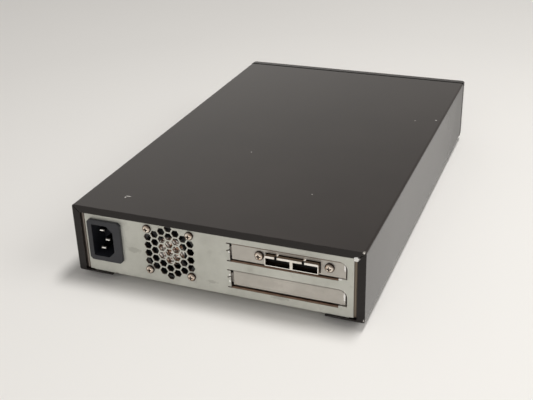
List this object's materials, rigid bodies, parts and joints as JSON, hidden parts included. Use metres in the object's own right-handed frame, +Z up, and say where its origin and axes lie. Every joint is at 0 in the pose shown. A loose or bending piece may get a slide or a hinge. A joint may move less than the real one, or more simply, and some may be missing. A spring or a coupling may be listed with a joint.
{
  "type": "desktop data tape drive",
  "caption": "Flat steel-cased cartridge tape drive for a desk, with a mains inlet, cooling fan and data ports at the back and a cartridge door at the front.",
  "frame": {"origin": "under the middle of the whole object, on the surface it stands on", "axes": "+X to the right seen from the front, +Y from the front with the cartridge door to the back panel, +Z up"},
  "size_m": [0.213, 0.3432, 0.058],
  "materials": {
    "black_coat": "satin powder coat",
    "galvanised": "satin zinc coat",
    "tray_steel": "satin",
    "black_plastic": "fine texture",
    "grey_plastic": "fine texture",
    "socket_plastic": "satin",
    "plated_screw": "polished",
    "nickel": "bright",
    "rubber": "matt",
    "aluminium": "cast, satin",
    "bare_aluminium": "machined",
    "green_board": "solder resist",
    "copper_wound": "varnished",
    "cable_black": "satin",
    "smoke_window": "polished",
    "lens": "clear",
    "button_grey": "satin",
    "brass": "turned",
    "contact_copper": "tarnished"
  },
  "bodies": {
    "case": {"top_cover": "black_coat", "cover_screws": "plated_screw", "base_pan": "galvanised", "rear_panel": "galvanised", "slot_strips": "contact_copper", "front_bezel": "black_plastic", "feet": "rubber", "inlet_housing": "socket_plastic", "inlet_blades": "nickel", "fan_frame": "black_plastic", "fan_screws": "plated_screw", "port_card_plate": "nickel", "blank_card_plate": "galvanised", "port_shell": "nickel", "port_inserts": "black_plastic", "port_screws": "plated_screw", "port_board": "green_board", "card_rail": "tray_steel", "card_screws": "plated_screw", "drive_casting": "aluminium", "drive_lid": "tray_steel", "drive_board": "green_board", "drive_plugs": "black_plastic", "drive_rails": "tray_steel", "drive_screws": "plated_screw", "drive_face": "grey_plastic", "status_lights": "lens", "display_window": "smoke_window", "button_board": "green_board", "power_switch": "black_plastic", "loader_motor": "tray_steel", "loader_guides": "black_plastic", "reel_motors": "bare_aluminium", "roller_pins": "nickel", "head_mount": "bare_aluminium", "supply_tray": "tray_steel", "supply_board": "green_board", "supply_heatsinks": "bare_aluminium", "supply_parts": "copper_wound", "supply_sockets": "black_plastic", "mains_leads": "cable_black", "output_cable": "cable_black", "data_cable": "cable_black", "fan_lead": "cable_black", "switch_lead": "cable_black"},
    "fan_wheel": {"fan_rotor": "grey_plastic"},
    "door": {"cartridge_door": "grey_plastic"},
    "eject_key": {"eject_button": "button_grey"},
    "power_key": {"power_button": "button_grey"},
    "carrier": {"cartridge_carrier": "tray_steel"},
    "pinion": {"loader_pinion": "brass"},
    "takeup": {"takeup_reel": "grey_plastic"},
    "clutch": {"supply_clutch": "tray_steel"},
    "head": {"tape_head": "bare_aluminium"},
    "roller_1": {"guide_roller_1": "bare_aluminium"},
    "roller_2": {"guide_roller_2": "bare_aluminium"},
    "roller_3": {"guide_roller_3": "bare_aluminium"},
    "roller_4": {"guide_roller_4": "bare_aluminium"}
  },
  "joints": [
    {"name": "fan_spin", "type": "hinge", "parent": "case", "child": "fan_wheel", "pos_m": [0.0326, 0.1574, 0.032], "axis": [0, 1, 0], "continuous": true},
    {"name": "door_swing", "type": "hinge", "parent": "case", "child": "door", "pos_m": [-0.031, -0.1685, 0.0504], "axis": [1, 0, 0], "range_deg": [0, 90], "stiffness_Nm_per_rad": 0.001, "springref_deg": -17.19},
    {"name": "eject_press", "type": "slide", "parent": "case", "child": "eject_key", "axis": [0, 1, 0], "range_m": [0, 0.001], "stiffness_N_per_m": 250, "springref_m": -0.0006},
    {"name": "power_press", "type": "slide", "parent": "case", "child": "power_key", "axis": [0, 1, 0], "range_m": [0, 0.0015], "stiffness_N_per_m": 300, "springref_m": -0.0008},
    {"name": "carrier_slide", "type": "slide", "parent": "case", "child": "carrier", "axis": [0, 1, 0], "range_m": [0, 0.014]},
    {"name": "pinion_spin", "type": "hinge", "parent": "case", "child": "pinion", "pos_m": [0.03205, -0.1, 0.0412], "axis": [0, 0, 1], "range_deg": [-118, 3]},
    {"name": "takeup_spin", "type": "hinge", "parent": "case", "child": "takeup", "pos_m": [-0.041, -0.0125, 0.0298], "axis": [0, 0, 1], "continuous": true},
    {"name": "supply_spin", "type": "hinge", "parent": "case", "child": "clutch", "pos_m": [-0.031, -0.109, 0.0209], "axis": [0, 0, 1], "continuous": true},
    {"name": "head_shift", "type": "slide", "parent": "case", "child": "head", "axis": [0, 0, 1], "range_m": [0, 0.006]},
    {"name": "roller_spin_1", "type": "hinge", "parent": "case", "child": "roller_1", "pos_m": [0.0295, -0.0495, 0.0378], "axis": [0, 0, 1], "continuous": true},
    {"name": "roller_spin_2", "type": "hinge", "parent": "case", "child": "roller_2", "pos_m": [0.0365, -0.0355, 0.0378], "axis": [0, 0, 1], "continuous": true},
    {"name": "roller_spin_3", "type": "hinge", "parent": "case", "child": "roller_3", "pos_m": [0.0365, 0.0035, 0.0378], "axis": [0, 0, 1], "continuous": true},
    {"name": "roller_spin_4", "type": "hinge", "parent": "case", "child": "roller_4", "pos_m": [0.0285, 0.0215, 0.0378], "axis": [0, 0, 1], "continuous": true}
  ],
  "couplings": [
    {"joint": "pinion_spin", "follows": "carrier_slide", "rad_per_m": -142.86}
  ]
}
